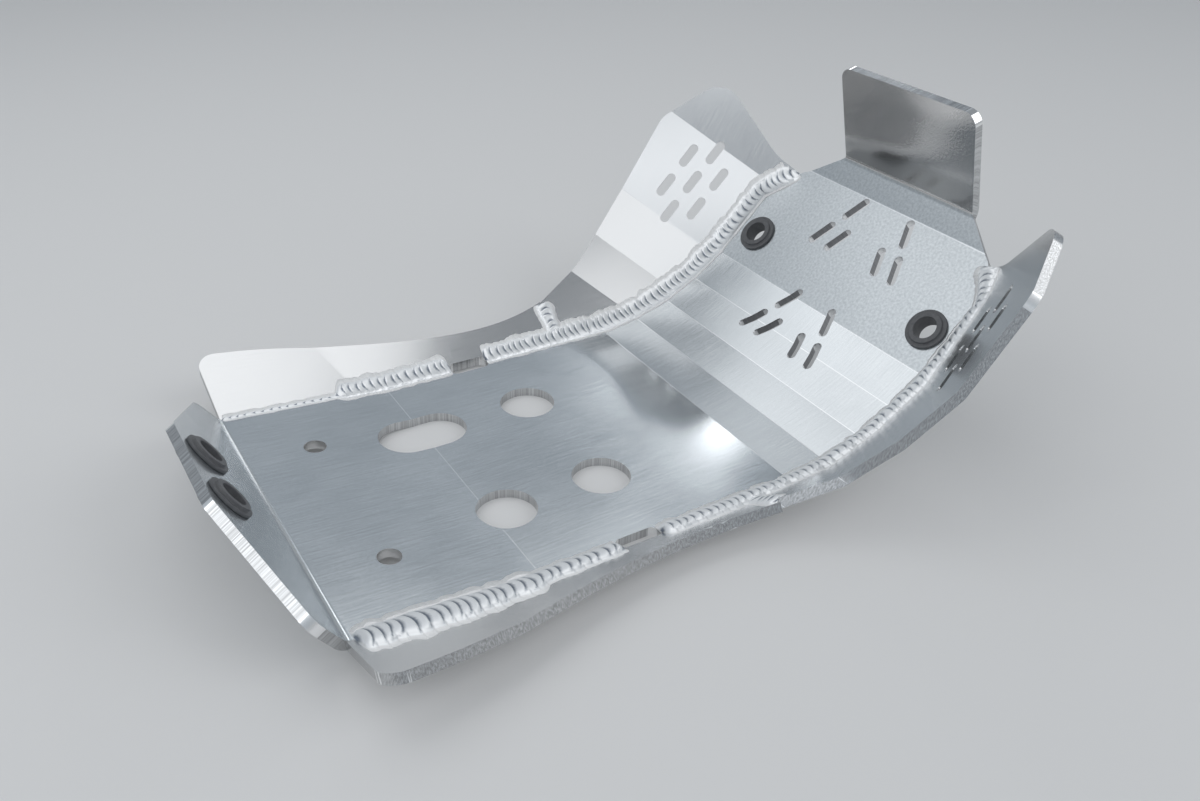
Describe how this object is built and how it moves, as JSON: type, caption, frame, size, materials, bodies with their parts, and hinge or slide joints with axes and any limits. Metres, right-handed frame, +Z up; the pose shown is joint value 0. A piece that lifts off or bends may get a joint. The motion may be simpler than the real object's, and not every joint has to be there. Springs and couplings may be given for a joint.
{
  "type": "motorcycle skid plate",
  "caption": "Folded and welded aluminium engine guard: flat floor, curved vented chin, upturned tab, angled rear flange, side wings and rubber mounting grommets.",
  "frame": {"origin": "middle of the flat belly's underside, between the two outer floor folds, on the plane of symmetry", "axes": "+X to the motorcycle's front, +Y to its left, +Z up towards the engine; the plate lies on its flat belly"},
  "size_m": [0.4052, 0.2838, 0.1588],
  "materials": {
    "plate": "brushed sheet, satin",
    "wings": "brushed sheet, satin",
    "weld": "bright rippled weld bead with an etched border",
    "rubber": "satin black rubber"
  },
  "bodies": {
    "root": {"rear_flange": "plate", "floor_plate": "plate", "front_plate": "plate", "left_rear_wing": "wings", "right_rear_wing": "wings", "left_front_wing": "wings", "right_front_wing": "wings", "left_front_weld": "weld", "right_front_weld": "weld", "left_rear_weld": "weld", "right_rear_weld": "weld", "rubber_grommets": "rubber"}
  },
  "joints": []
}
